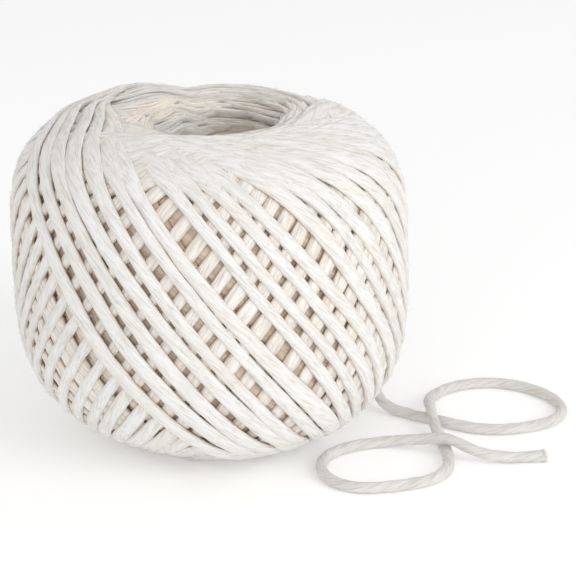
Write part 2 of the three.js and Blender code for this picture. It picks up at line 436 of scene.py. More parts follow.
def fibre_relief(twist, along, bundles):
    """Random ridges that run with the twist, one for each bundle of fibres round the string.

    Each ridge's height is drawn again every FIBRE_LENGTH along the string and eased between.
    """
    steps = along / FIBRE_LENGTH
    table = random.normal(0.0, 1.0, (int(steps.max()) + 2, bundles))
    row = np.floor(steps).astype(int)[:, None]
    share = ease(steps[:, None] - row, 0.0, 1.0)
    column = twist / (2 * np.pi) * bundles
    left = np.floor(column).astype(int)
    part = column - left
    left, right = left % bundles, (left + 1) % bundles
    older = table[row, left] * (1.0 - part) + table[row, right] * part
    newer = table[row + 1, left] * (1.0 - part) + table[row + 1, right] * part
    return older + (newer - older) * share


def twisted_relief(t, along, twist, bundles):
    """How far the surface lies inside a smooth section, at angles t round it.

    It is groove x (0.5 + 0.5 cos(plies x a))^1.5 and the fibres' relief, with the angle
    a = t + full turns of the twist along the string.
    """
    turned = t + 2 * np.pi * along[:, None] / twist["lay"]
    groove = twist["groove"] * (0.5 + 0.5 * np.cos(twist["plies"] * turned)) ** 1.5
    return groove + twist["relief"] * fibre_relief(turned, along, bundles)


def rings_along(line, across, outward, x, y):
    """Sections (x, y) carried along a line, and kept off the surface that the ball stands on."""
    rings = line[:, None] + across[:, None] * x[..., None] + outward[:, None] * y[..., None]
    rings[..., 2] = np.maximum(rings[..., 2], LOWEST)
    return rings


def lay_maps(along, lay, sides):
    """The lay map's two parts for a tube, from each ring's place along it and its lay."""
    turned = np.linspace(-0.25, 0.75, sides + 1)[None, :] + (along / lay)[:, None]
    length = np.broadcast_to((along / 10.0)[:, None], turned.shape)
    return corners(length), corners(turned)


# ---- the winding

def body_section(latitude):
    """The body's radius and outward slope at a latitude.

    The radius is (|cos l / R|^n + |sin l / H|^n)^(-1/n), and the slope is the gradient of
    (x/R)^n + (z/H)^n there, both with the reach H and squareness n of that half.
    """
    above = latitude > 0
    n = np.where(above, UPPER_SQUARENESS, LOWER_SQUARENESS)
    reach = np.where(above, UPPER_REACH, LOWER_REACH)
    angle = np.radians(latitude)
    across = np.cos(angle) / BODY_RADIUS
    upright = np.abs(np.sin(angle)) / reach
    radius = (across ** n + upright ** n) ** (-1 / n)
    out = across ** (n - 1) / BODY_RADIUS
    up = np.sign(angle) * upright ** (n - 1) / reach
    size = np.hypot(out, up)
    return radius, out / size, up / size


def level_of(age, rimward, end):
    """How far the turns of an age lie below the newest, in millimetres.

    Away from the rims it is growth x age / turns in a revolution. At a rim only a share of its
    growth is spread round it, and the rest is the step between one revolution and the next.
    """
    revolution = np.floor(age / TURNS_ROUND)
    part = age / TURNS_ROUND - revolution
    share = np.where(end > 0, RIM_GROWTH_SHARE["top"], RIM_GROWTH_SHARE["bottom"])
    step = (1.0 - share) * (1.0 - ease(part, 0.0, RIM_STEP)) * (revolution > 0)
    at_rim = revolution + share * part - step
    level = GROWTH * age / TURNS_ROUND
    return level + (RIM_GROWTH * at_rim - level) * rimward


def rim_values(half):
    """How far past the rim's latitude the string goes at each rim, eased from one to the next.

    The values are for a top rim and a bottom rim alternately. Some turns reach further into
    the hole than others, and all do so on the side where it is filled. Some older ones stay
    back, and leave a dark slot under the newer ones. The newest turns' top rims have a table.
    """
    count = int(2 * (OLDEST_AGE + 2 * SPARE_TURNS))
    values = np.abs(random.normal(0.0, RIM_SCATTER, count)) + RIM_LEAST
    top = values[::2]
    age = np.arange(len(top)) - SPARE_TURNS
    top *= 1.0 + OLDER_RIM_SCATTER * ease(age, *OLDER_RIM_AGES)
    rim_at = NEWEST_RISING_AT - TOP_RIM_FROM_MIDDLE + PITCH * age
    filled = ease(np.cos(np.radians(rim_at - HOLE_FILLED_AT)), *HOLE_FILL_COSINES)
    top += (HOLE_FILL - HOLE_FILL_EVENNESS * top) * filled - SLOT_BACK * band(age, *SLOT_AGES)
    top[SPARE_TURNS:SPARE_TURNS + len(NEWEST_RIMS)] = NEWEST_RIMS
    return eased_row(values, half + (2 * SPARE_TURNS + 0.5))


def turn_tables():
    """The spacing and width of every turn: rising ones in three parts, falling ones in one."""
    count = int(OLDEST_AGE) + 2 * SPARE_TURNS
    table = np.array(RISING_TURNS)
    parts = len(RISING_PLACES)
    spacing = np.zeros((count, parts))
    spacing[:len(table)] = table[:, :parts]
    width = np.full((count, parts), RISING_WIDTH)
    width[:len(table)] = table[:, parts:]
    falling = np.zeros(count)
    falling[FIRST_FALLING:FIRST_FALLING + len(FALLING_TURNS)] = FALLING_TURNS
    covered = ease(np.arange(count), *COVERED_FROM)
    return spacing, falling, width, FALLING_WIDTH + (COVERED_WIDTH - FALLING_WIDTH) * covered


def half_turn_values(half, rising, falling, scatter):
    """A value all along the winding that is set half turn by half turn.

    A rising half turn has a value at its upper, middle and lower part, and a falling one has
    one at its middle. Both are tables from the newest turn inwards, scattered where the rising
    ones are even, joined with straight lines and then softened over a twelfth of a turn.
    """
    turn = np.arange(len(rising))
    even = (np.ptp(rising, axis=1) == 0)[:, None]
    shared = random.normal(0.0, scatter, (len(turn), 1))
    rising = rising + (shared + random.normal(0.0, PART_SCATTER * scatter, rising.shape)) * even
    falling = falling + random.normal(0.0, scatter / 3, len(turn))
    places = np.concatenate([*(2.0 * turn + part for part in RISING_PLACES), 2.0 * turn - 1.0])
    values = np.concatenate([rising.T.ravel(), falling])
    order = np.argsort(places)
    line = np.interp(half, places[order], values[order])
    window = np.hanning(STEPS_A_TURN // 12 + 1)
    padded = np.pad(line, len(window) // 2, mode="edge")
    return np.convolve(padded, window / window.sum(), "valid")


def circle_swing(phase):
    """How far round the axis a slanting circle has gone at a phase, both in degrees.

    It is the angle of (cos p, cos i sin p), unwound so that it grows with the phase, plus a
    swing of sin 2p that makes the turns steeper at the middle.
    """
    p = np.radians(phase)
    turned = np.degrees(np.arctan2(np.cos(np.radians(RIM_LATITUDE)) * np.sin(p), np.cos(p)))
    turned = phase + (turned - phase + 180.0) % TURN - 180.0
    return turned + SWING * np.sin(2 * p)


def pitch_across(latitude, phase):
    """The distance from a turn to the next, measured square across the string.

    It is the pitch round the ball times the sine of the string's slant, which has the
    tangent (radius x change of latitude) / (radius x cos latitude x change of azimuth).
    """
    radius = body_section(latitude)[0]
    ring = radius * np.cos(np.radians(latitude))
    rise = np.gradient(np.radians(latitude)) * radius
    travel = np.gradient(np.radians(circle_swing(phase))) * ring
    return np.radians(PITCH) * ring * np.abs(rise) / np.hypot(rise, travel)


class Winding:
    """The whole wound string as one line, from its newest end inwards.

    age counts turns back from where the string leaves the ball, and phase = leaving phase -
    360 x age. A rising half has phases -90 to 90, and a falling half 90 to 270.
    """

    def __init__(self):
        self.age = np.linspace(0.0, OLDEST_AGE, int(OLDEST_AGE * STEPS_A_TURN) + 1)
        phase = LEAVES_AT - TURN * self.age
        p = np.radians(phase)
        half = -phase / 180.0
        past_rim = rim_values(half)
        rim = np.radians(RIM_LATITUDE + past_rim)
        latitude = np.degrees(np.arcsin(np.sin(rim) * np.sin(p)))
        spacing, falling, width, falling_width = turn_tables()
        azimuth = (
            NEWEST_RISING_AT
            - circle_swing(phase)
            - PITCH * (phase / TURN - np.sin(2 * p) / (4 * np.pi))
            + half_turn_values(half, spacing, falling, SPACING_SCATTER)
            + waver(self.age, *PATH_WAVER)
        )
        rimward = np.abs(np.sin(p)) ** RIM_SHARPNESS
        width = half_turn_values(half, width, falling_width, WIDTH_SCATTER)
        self.pitch = pitch_across(latitude, phase)
        self.set_width(width, rimward, latitude, azimuth, np.cos(p) < 0)

        depth = level_of(self.age, rimward, np.sin(p))
        depth += self.dive(phase) + waver(self.age, *DEPTH_WAVER)
        depth += rimward * RIM_SINK * np.maximum(past_rim, 0.0)
        for place, reach, height in RIM_HUMPS:
            apart = within_half_turn(azimuth - place)
            depth -= height * np.exp(-(apart / reach) ** 2) * ease(latitude, *HUMP_LATITUDES)
        self.lay_out(latitude, azimuth, depth)
        self.cover = self.covers(phase, latitude)

    def set_width(self, width, rimward, latitude, azimuth, falls):
        """The string's width and thickness, and how closed it lies beside its neighbours.

        Where turns close up, the width goes from the string's own to a little more than the
        pitch. closed is 1 where no gap shows, and a share of 1 on the right side; it lessens the
        painted shade in the gaps.
        """
        width = width * (1.0 + OLDER_SPREAD * ease(self.age, *OLDER_FROM))
        right = band(within_half_turn(azimuth), *RIGHT_SIDE)
        covered = ease(self.age, *COVERED_FROM) * falls
        below = np.where(falls, CLOSES_BELOW["falling"], CLOSES_BELOW["rising"])
        closing = ease(latitude, *CLOSES_ABOVE) + ease(-latitude, below, below + CLOSING_REACH)
        closing = np.minimum(closing + RIGHT_CLOSING * right * covered, 1.0)
        width = width + closing * np.maximum(SIDE_BY_SIDE * self.pitch - width, 0.0)
        self.width = width * (1.0 + RIM_SPREAD * rimward) * (1.0 + waver(self.age, *WIDTH_WAVER))
        self.thickness = np.clip(WOUND_SECTION / self.width, *WOUND_THICKNESS)
        self.closed = np.maximum(np.maximum(rimward, closing), RIGHT_GAP_SHADE_LIFT * right)

    def dive(self, phase):
        """How far a turn dives under the newer ones after it has passed a rim.

        Just past a rim the newer turns of the other family cross it at a slant that is too
        flat for their levels to keep them apart.
        """
        past = phase % 180.0 - 90.0
        past = np.where(past < 0, past + 180.0, past)
        newer = 2.0 * (90.0 - np.abs(circle_swing(90.0 - past))) / PITCH
        hidden = ease(self.age - newer, *DIVE_CROSSED)
        return DIVE_UNDER * ease(past, *DIVE_DOWN) * (1.0 - ease(past, *DIVE_UP)) * hidden

    def lay_out(self, latitude, azimuth, depth):
        """The line's points, and the directions along, across and out of the string.

        The string leans over on the older turn beside it where the pitch between turns is
        less than its width: the lean grows as 1 - pitch / width.
        """
        radius, out, up = body_section(latitude)
        radius = radius - depth - self.thickness / 2
        a, l = np.radians(azimuth), np.radians(latitude)
        z = CENTRE_HEIGHT + radius * np.sin(l)
        ring = radius * np.cos(l)
        x = AXIS_X + LEAN * (z - CENTRE_HEIGHT) + ring * np.sin(a)
        y = AXIS_Y - ring * np.cos(a)
        self.points = np.stack([x, y, z], -1)
        self.along = -unit(np.gradient(self.points, axis=0))
        outward = np.stack([out * np.sin(a), -out * np.cos(a), up], -1)
        across = unit(np.cross(self.along, outward))
        outward = np.cross(across, self.along)
        lean = np.radians(SHINGLE_TILT) * np.clip(1.0 - self.pitch / self.width, 0.0, 1.0)
        lean = (lean * np.sign(latitude))[:, None]
        self.across = across * np.cos(lean) + outward * np.sin(lean)
        self.outward = outward * np.cos(lean) - across * np.sin(lean)
        lengths = np.linalg.norm(np.diff(self.points, axis=0), axis=1)
        self.length = np.concatenate([[0.0], np.cumsum(lengths)])

    def covers(self, phase, latitude):
        """How many layers of newer turns lie over each place.

        A rising half is first crossed by newer falling halves, then by newer rising ones a
        whole revolution later, and so on. At the rims each revolution's turns lie nearly
        bare. The cotton's colour turns the count into painted shade. It goes down to -1 in the
        open hole, for painted light there, where light comes from turn to turn.
        """
        swing = circle_swing((phase + 90.0) % 180.0 - 90.0)
        rising = np.cos(np.radians(phase)) > 0
        degrees = np.where(rising, FIRST_CROSSED["rising"], FIRST_CROSSED["falling"])
        first = degrees / PITCH + 2 * swing / PITCH
        layers = np.zeros_like(self.age)
        for revolution in range(REVOLUTIONS + 1):
            layers += ease(self.age - first - revolution * TURNS_ROUND, *LAYER_ARRIVES)
            layers += ease(self.age - (revolution + 1) * TURNS_ROUND, *LAYER_ARRIVES)
        rimwards = np.where(latitude > 0, latitude, -latitude - BARE_LATER_BELOW)
        bare = ease(rimwards, *BARE_LATITUDES)
        slot = band(self.age, *SLOT_AGES) * ease(latitude, *SLOT_LATITUDES)
        in_hole = ease(latitude, *HOLE_LATITUDES) * (1.0 - slot)
        return layers * (1.0 - BARE_SHARE * bare) + SLOT_SHADE * slot - in_hole

    def tube(self, name, first, last, turn_steps, sides, bundles, material):
        """The string from one revolution to another, as a flattened twisted tube.

        Its section is x = w/2 cos t, y = h/2 sin t, with |cos|^0.95 and |sin|^0.85 to flatten
        its crown, and with both half sizes less the twisted relief. Its cover grows down its
        sides, as painted shade from the gap beside it.
        """
        low, high = first * TURNS_ROUND, last * TURNS_ROUND
        ages = np.linspace(low, high, int((high - low) * turn_steps) + 1)
        places = np.interp(ages, self.age, np.arange(len(self.age)))
        line = pick(self.points, places)
        across = unit(pick(self.across, places))
        outward = unit(pick(self.outward, places))
        along = pick(self.length, places)[:, 0]
        width = pick(self.width, places)
        thickness = pick(self.thickness, places)
        t = round_angles(sides)
        groove = twisted_relief(t, along, WOUND_TWIST, bundles)
        x = (width / 2 - groove) * np.sign(np.cos(t)) * np.abs(np.cos(t)) ** 0.95
        y = (thickness / 2 - groove) * np.sign(np.sin(t)) * np.abs(np.sin(t)) ** 0.85
        rings = rings_along(line, across, outward, x, y)
        cover = pick(self.cover, places)
        crown = CROWN + COVERED_CROWN * np.clip(cover, 0.0, 1.0)
        gap = 1.0 - GAP_CLOSED * pick(self.closed, places)
        # Painted shade down the sides, less where the turns lie closed.
        cover = cover + GAP_SHADE * gap * ease(-y / thickness, -crown, GAP_FOOT)
        maps = lay_maps(along, WOUND_TWIST["lay"], sides)
        mesh = tube_mesh(name, rings, cover, *maps, int(round(high - low)))
        return piece(mesh, material)


# ---- the oldest turns

def inside_turns(material):
    """The oldest turns as one closed ring: the tunnel's wall, and a hidden outer side.

    The wall is two families of strings that slant round the tunnel and pass over each other.
    Each string is a ridge sqrt(1 - (2 q - 1)^2), where q is the place across it from 0 to 1,
    set forwards or back by a random amount, and whichever family stands further out shows.
    """
    heights, radii = np.array(TUNNEL).T
    wall = np.linspace(heights[0], heights[-1], TUNNEL_ROWS)[None, :]
    azimuth = np.linspace(0.0, 2 * np.pi, TUNNEL_COLUMNS + 1)[:, None]
    ridges, lays = [], []
    for starts, wave in TUNNEL_FAMILIES:
        place = wall / TUNNEL_PITCH + starts * azimuth / (2 * np.pi)
        place = place + 0.22 * np.sin(2 * azimuth + wave) + 0.16 * np.sin(5 * azimuth - wall / 6)
        string = np.floor(place).astype(int) + 8
        across = 2.0 * (place - np.floor(place)) - 1.0
        stand = random.normal(0.0, TUNNEL_SCATTER, 40)[string]
        rise = 0.5 * np.sin(3 * azimuth + 2.0 * string)
        ridges.append(TUNNEL_RIDGE * np.sqrt(1.0 - across ** 2) + stand + rise)
        lays.append((corners(np.broadcast_to(1.1 * azimuth, place.shape)), corners(0.5 * place)))
    ends = np.minimum(wall - heights[0], heights[-1] - wall) / TUNNEL_ENDS
    ends = np.clip(ends, 0.0, 1.0)
    wall_radius = np.interp(wall, heights, radii) - np.maximum(*ridges) * ends

    edge = RIM_LATITUDE - SHELL_SHORT_OF_RIM
    latitude = np.linspace(edge, -edge, SHELL_ROWS)
    depth = GROWTH * OLDEST_AGE / TURNS_ROUND - SHELL_OVERLAP
    body_radius = body_section(latitude)[0] - depth
    shell_height = CENTRE_HEIGHT + body_radius * np.sin(np.radians(latitude))
    shell_radius = body_radius * np.cos(np.radians(latitude))
    shell = np.ones_like(azimuth)
    radius = np.concatenate([wall_radius, shell * shell_radius], axis=1)[:-1]
    height = np.concatenate([shell * wall, shell * shell_height], axis=1)[:-1]
    turn = azimuth[:-1]
    x = AXIS_X + LEAN * (height - CENTRE_HEIGHT) + radius * np.sin(turn)
    y = AXIS_Y - radius * np.cos(turn)
    points = np.stack([x, y, height], -1)
    top = ridges[0] > ridges[1]
    maps = []
    for first, second in zip(*lays):
        chosen = np.where(top[:-1, :-1, None], first, second)
        hidden = np.zeros((TUNNEL_COLUMNS, SHELL_ROWS + 1, 4))
        maps.append(np.concatenate([chosen, hidden], axis=1))
    # Painted warm light on the tunnel's wall.
    cover = np.full(radius.shape, TUNNEL_COVER)
    mesh = tube_mesh("turns_inside", points, cover, *maps, 1, joined=True)
    return piece(mesh, material)


# ---- fibres

def fibre_mesh(name, roots, heading, outward, kind):
    """Thin tapered closed fibres, one for each root, as one mesh.

    A fibre's middle line is root + heading L s + outward lift (4 s (1 - s) or s) + side curl
    s^2, for s from 0 to 1: every second one is an arch and the others stand free.
    """
    count, rings, sides = len(roots), FIBRE_RINGS, FIBRE_SIDES
    lengths = random.uniform(*kind["lengths"], count)[:, None, None]
    lifts = random.uniform(*kind["lifts"], count)[:, None, None]
    curls = random.normal(0.0, kind["curl"], count)[:, None, None]
    side = unit(np.cross(heading, outward))
    s = np.linspace(0.0, 1.0, rings)[None, :, None]
    arch = (np.arange(count) % 2 == 0)[:, None, None]
    rise = np.where(arch, 4.0 * s * (1.0 - s), s) * lifts
    line = roots[:, None] + heading[:, None] * lengths * s
    line = line + outward[:, None] * rise + side[:, None] * curls * s ** 2
    t = np.linspace(0.0, 2 * np.pi, sides, endpoint=False)
    thick = (kind["radius"] * (1.0 - FIBRE_TAPER * s))[..., None]
    spoke = side[:, None, None] * np.cos(t)[:, None] + outward[:, None, None] * np.sin(t)[:, None]
    points = line[:, :, None] + thick * spoke
    points[..., 2] = np.maximum(points[..., 2], LOWEST)

    ring = np.arange(rings * sides).reshape(rings, sides)
    grid = np.concatenate([ring, ring[:, :1]], axis=1)
    quads = corners(grid)[..., ::-1].reshape(-1, 4)
    caps = np.stack([ring[0], ring[-1][::-1]])
    shift = (np.arange(count) * rings * sides)[:, None]
    indices = (np.concatenate([quads.ravel(), caps.ravel()])[None, :] + shift).ravel()
    sizes = np.tile(np.concatenate([np.full(len(quads), 4), np.full(2, 3)]), count)
    mesh = smooth_mesh(name, points.reshape(-1, 3), indices, sizes)

    cells = int(np.ceil(np.sqrt(count)))
    column, row = np.arange(count) % cells, np.arange(count) // cells
    u = np.broadcast_to(np.linspace(0.1, 0.9, rings)[:, None], grid.shape)
    v = np.broadcast_to(np.linspace(0.1, 0.9, sides + 1), grid.shape)
    caps_u = np.repeat([0.1, 0.9], sides)
    caps_v = np.tile([0.1, 0.4, 0.7], 2)
    u = np.concatenate([corners(u)[..., ::-1].ravel(), caps_u])
    v = np.concatenate([corners(v)[..., ::-1].ravel(), caps_v])
    set_map(mesh, "lay", 0.3 * u + column[:, None], 0.1 * v + row[:, None])
    set_map(mesh, "OFBake", (u + column[:, None]) / cells, (v + row[:, None]) / cells)
    set_cover(mesh, np.full(len(mesh.vertices), FIBRE_COVER))
    return mesh


def stray_fibres(winding, material):
    """Fibres standing off the newest revolution of turns, mostly along them.

    They are thickest at the turns' two edges: the angle round the section goes as the square
    of an even random number.
    """
    places = random.uniform(0.0, TURNS_ROUND, STRAY_FIBRES) / OLDEST_AGE * (len(winding.age) - 1)
    centre, along = pick(winding.points, places), unit(pick(winding.along, places))
    across, out = unit(pick(winding.across, places)), unit(pick(winding.outward, places))
    half_width = pick(winding.width, places) / 2
    half_height = pick(winding.thickness, places) / 2
    t = random.uniform(0.0, 1.0, (STRAY_FIBRES, 1)) ** 2 * np.pi / 2
    t = np.where(random.uniform(0.0, 1.0, t.shape) < 0.5, t, np.pi - t)
    section = across * half_width * np.cos(t) + out * half_height * np.sin(t)
    roots = centre + STRAY_ROOT * section
    normal = unit(across * half_height * np.cos(t) + out * half_width * np.sin(t))
    side = np.cross(normal, along)
    turn = random.normal(0.0, STRAY_TURN, (STRAY_FIBRES, 1))
    sign = random.choice([-1.0, 1.0], (STRAY_FIBRES, 1))
    heading = sign * (along * np.cos(turn) + side * np.sin(turn))
    return piece(fibre_mesh("stray_fibres", roots, heading, normal, STRAY), material)


# ---- the loose end

def smooth_line(knots, spacing):
    """A centripetal Catmull-Rom line through the knots, at an even spacing.

    Each stretch between two knots is the Barry-Goldman pyramid of straight blends, with knot
    times that grow as the square root of the distance.
    """
    p = np.array([2 * knots[0] - knots[1], *knots, 2 * knots[-1] - knots[-2]])
    gaps = np.sqrt(np.linalg.norm(np.diff(p, axis=0), axis=1))
    times = np.concatenate([[0.0], np.cumsum(gaps)])
    t = np.linspace(times[1], times[-2], 4000)
    i = np.clip(np.searchsorted(times, t, side="right") - 1, 1, len(p) - 3)

    def blend(a, b, ta, tb):
        share = ((t - ta) / (tb - ta))[:, None]
        return a + (b - a) * share

    t0, t1, t2, t3 = times[i - 1], times[i], times[i + 1], times[i + 2]
    a1 = blend(p[i - 1], p[i], t0, t1)
    a2 = blend(p[i], p[i + 1], t1, t2)
    a3 = blend(p[i + 1], p[i + 2], t2, t3)
    b1 = blend(a1, a2, t0, t2)
    b2 = blend(a2, a3, t1, t3)
    line = blend(b1, b2, t1, t2)
    lengths = np.linalg.norm(np.diff(line, axis=0), axis=1)
    along = np.concatenate([[0.0], np.cumsum(lengths)])
    even = np.linspace(0.0, along[-1], int(along[-1] / spacing) + 1)
    line = np.stack([np.interp(even, along, line[:, k]) for k in range(3)], -1)
    return line, even


def fringe_at(tip, forward, across, up, radius):
    """The fibres of the cut end, from all over its face and splayed a little outwards."""
    place = np.sqrt(random.uniform(0.0, FRINGE_FULLNESS, (FRINGE_FIBRES, 1))) * radius
    turn = random.uniform(0.0, 2 * np.pi, (FRINGE_FIBRES, 1))
    spoke = across * np.cos(turn) + up * np.sin(turn)
    heading = unit(forward + FRINGE_SPLAY * place * spoke)
    roots = tip + spoke * place - FRINGE_ROOT * heading
    outward = unit(spoke - heading * (spoke * heading).sum(axis=1, keepdims=True))
    return fibre_mesh("loose_end_fringe", roots, heading, outward, FRINGE)


def loose_end(winding, material, fringe_material):
    """The string's free end, as a round twisted tube that starts flat where it leaves the ball.

    Its section is an ellipse of the string's width and height less the twisted relief, and a
    circle once it is free. It spreads a little at the cut, where its fibres show.
    """
    rest = STRING_DIAMETER / 2
    leaving = winding.points[0] + winding.along[0] * np.array([[0.0], [LEAVES_STRAIGHT]])
    knots = np.concatenate([leaving, np.array(LOOSE_ROUTE) + (0.0, 0.0, rest)])
    line, along = smooth_line(knots, LOOSE_SPACING)
    line[:, 2] = np.maximum(line[:, 2], rest)
    forward = unit(np.gradient(line, axis=0))
    freed = ease(along, *FREED)[:, None]
    level = winding.outward[0] * (1.0 - freed) + np.array([0.0, 0.0, 1.0]) * freed
    across = unit(np.cross(level, forward))
    up = np.cross(forward, across)
    spread = 1.0 + CUT_SPREAD * (1.0 - ease(along[-1] - along, 0.0, CUT_REACH))
    spread = spread + waver(along, *LOOSE_WAVER)
    wound_width, wound_thickness = winding.width[0], winding.thickness[0]
    width = (wound_width + (LOOSE_WIDTH - wound_width) * freed) * spread[:, None]
    height = wound_thickness + (STRING_DIAMETER - wound_thickness) * freed
    t = round_angles(LOOSE_SIDES)
    groove = twisted_relief(t, along, LOOSE_TWIST, LOOSE_BUNDLES)
    x = (width / 2 - groove) * np.cos(t)
    y = (height / 2 - groove) * np.sin(t)
    rings = rings_along(line, across, up, x, y)
    # The underside is painted darker: painted shade.
    cover = LOOSE_SHADE * (0.5 - y / height)
    maps = lay_maps(along, LOOSE_TWIST["lay"], LOOSE_SIDES)
    mesh = tube_mesh("loose_end_string", rings, cover, *maps, LOOSE_BAKE_ROWS)
    string = piece(mesh, material)
    fibres = fringe_at(line[-1], forward[-1], across[-1], up[-1], width[-1] / 2)
    fringe = piece(fibres, fringe_material)
    return string, fringe


# ---- the cotton's colours

# By how deep it lies: painted warm light in the open hole, the string's own white on the newest
# turns, and browner painted shade in the gaps and under more turns. BRIGHTEST and DEEPEST are
# the covers that the first and last colours stand for.
BRIGHTEST = -1.0
DEEPEST = 4.0
PAINTED_LIGHT_AND_SHADE_COLOURS = (
    (0.0, (0.99, 0.91, 0.82)),
    (0.2, (0.875, 0.872, 0.868)),
    (0.28, (0.875, 0.868, 0.858)),
    (0.42, (0.88, 0.86, 0.835)),
    (0.52, (0.80, 0.72, 0.64)),
    (0.64, (0.65, 0.545, 0.445)),
    (0.84, (0.49, 0.37, 0.265)),
    (1.0, (0.42, 0.30, 0.20)),
)
# Shades that multiply it: single fibres, bundles of fibres and faint patches, at random; darker
# bundles that grow stronger with the cover, as painted shade; and painted shade in the grooves
# between plies.
WHITE = (1.0, 1.0, 1.0)
FIBRE_SHADES = ((0.36, (0.85, 0.825, 0.79)), (0.46, (0.98, 0.975, 0.965)), (0.62, WHITE))
BUNDLE_SHADES = ((0.34, (0.91, 0.89, 0.865)), (0.48, (0.99, 0.985, 0.98)), (0.62, WHITE))
PATCH_SHADES = ((0.35, (0.97, 0.95, 0.915)), (0.6, WHITE))
DEPTH_PAINTED_SHADES = ((0.38, (0.70, 0.62, 0.54)), (0.6, WHITE))
GROOVE_PAINTED_SHADE = (0.80, 0.74, 0.64, 1.0)
# The heights of its relief in metres: the string's, and a single fibre's.
STRING_RELIEF = 0.0003
SINGLE_FIBRE_RELIEF = 0.000004


# ---- materials

def new_material(name):
    """An empty node material and its node tree."""
    material = bpy.data.materials.new(name)
    material.use_nodes = True
    tree = material.node_tree
    tree.nodes.clear()
    return material, tree


def add(tree, kind, inputs, **settings):
    """A node of a kind, with its settings, its plain input values and its links."""
    node = tree.nodes.new(kind)
    for key, value in settings.items():
        setattr(node, key, value)
    for key, value in inputs.items():
        if isinstance(value, bpy.types.NodeSocket):
            tree.links.new(value, node.inputs[key])
        else:
            node.inputs[key].default_value = value
    return node


def arithmetic(tree, operation, first, second, third=0.0, clamp=False):
    """The result of one piece of arithmetic on two or three values or sockets."""
    inputs = {0: first, 1: second, 2: third}
    node = add(tree, "ShaderNodeMath", inputs, operation=operation, use_clamp=clamp)
    return node.outputs[0]


def ramp(tree, factor, stops):
    """A colour that runs through the given stops of (place, colour)."""
    node = add(tree, "ShaderNodeValToRGB", {0: factor})
    elements = node.color_ramp.elements
    while len(elements) < len(stops):
        elements.new(0.5)
    for element, (place, colour) in zip(elements, stops):
        element.position = place
        element.color = (*colour, 1.0)
    return node.outputs[0]


def mix_colour(tree, factor, first, second, blend_type="MIX"):
    """Two colours mixed, or one multiplied by the other, by a factor."""
    inputs = {0: factor, 6: first, 7: second}
    node = add(tree, "ShaderNodeMix", inputs, data_type="RGBA", blend_type=blend_type)
    return node.outputs[2]


def cotton(name, plies, ply_depth, fibres_round, brightness, relief):
    """Soft twisted cotton: plies with fine fibres along them, painted shade that grows browner
    the deeper it lies, and painted warm light in the open hole.

    A ply's height is (2 x the distance from its groove, in plies)^0.55. The fibres, bundles
    and patches are noise on the lay map, with fibres_round streaks round the string.
    ply_depth is the plies' strength in height and in painted shade in their grooves, brightness
    multiplies the colour and below 1 is painted shade, and relief is the height of the bump in
    metres.
    """
    material, tree = new_material(name)
    lay = add(tree, "ShaderNodeUVMap", {}, uv_map="lay")
    split = add(tree, "ShaderNodeSeparateXYZ", {0: lay.outputs[0]})
    along, around = split.outputs[0], split.outputs[1]
    cover = add(tree, "ShaderNodeAttribute", {}, attribute_name="cover").outputs["Fac"]

    def streaks(per_centimetre, round_string, detail, seed):
        """Noise drawn out along the string."""
        x = arithmetic(tree, "MULTIPLY", along, per_centimetre)
        y = arithmetic(tree, "MULTIPLY", around, round_string)
        place = add(tree, "ShaderNodeCombineXYZ", {0: x, 1: y, 2: seed})
        return add(tree, "ShaderNodeTexNoise", {
            "Vector": place.outputs[0], "Scale": 1.0, "Detail": detail, "Roughness": 0.6,
        }).outputs["Fac"]

    fibres = streaks(2.5, fibres_round, 2.0, 0.0)
    bundles = streaks(1.5, fibres_round * 0.42, 1.0, 7.0)
    patches = streaks(0.35, 2.0, 1.0, 19.0)
    ply_wave = arithmetic(tree, "PINGPONG", arithmetic(tree, "MULTIPLY", around, plies), 0.5)
    ply_crest = arithmetic(tree, "POWER", arithmetic(tree, "MULTIPLY", ply_wave, 2.0), 0.55)

    # The cover turns into painted warm light in the open hole and painted shade in the depths.
    a_layer = 1.0 / (DEEPEST - BRIGHTEST)
    depth = arithmetic(tree, "MULTIPLY_ADD", cover, a_layer, -BRIGHTEST * a_layer)
    colour = ramp(tree, depth, PAINTED_LIGHT_AND_SHADE_COLOURS)
    shades = ((fibres, FIBRE_SHADES), (bundles, BUNDLE_SHADES), (patches, PATCH_SHADES))
    for noise, stops in shades:
        colour = mix_colour(tree, 1.0, colour, ramp(tree, noise, stops), "MULTIPLY")
    # Darker bundles that grow with the cover: painted shade.
    deep = arithmetic(tree, "DIVIDE", cover, DEEPEST, clamp=True)
    colour = mix_colour(tree, deep, colour, ramp(tree, bundles, DEPTH_PAINTED_SHADES), "MULTIPLY")
    shade = (brightness, brightness, brightness, 1.0)
    colour = mix_colour(tree, 1.0, colour, shade, "MULTIPLY")
    # Painted shade in the grooves between plies.
    in_groove = arithmetic(tree, "SUBTRACT", 1.0, ply_crest)
    in_groove = arithmetic(tree, "MULTIPLY", in_groove, ply_depth)
    colour = mix_colour(tree, in_groove, colour, GROOVE_PAINTED_SHADE, "MULTIPLY")

    height = arithmetic(tree, "MULTIPLY", fibres, 0.6)
    height = arithmetic(tree, "ADD", height, arithmetic(tree, "MULTIPLY", bundles, 0.9))
    height = arithmetic(tree, "ADD", height, arithmetic(tree, "MULTIPLY", ply_crest, ply_depth))
    bump = add(tree, "ShaderNodeBump", {"Strength": 1.0, "Distance": relief, "Height": height})
    shader = add(tree, "ShaderNodeBsdfPrincipled", {
        "Base Color": colour,
        "Normal": bump.outputs[0],
        "Roughness": 0.95,
        "Specular IOR Level": 0.1,
        "Sheen Weight": 0.2,
        "Sheen Roughness": 0.6,
    })
    add(tree, "ShaderNodeOutputMaterial", {"Surface": shader.outputs[0]})
    return material


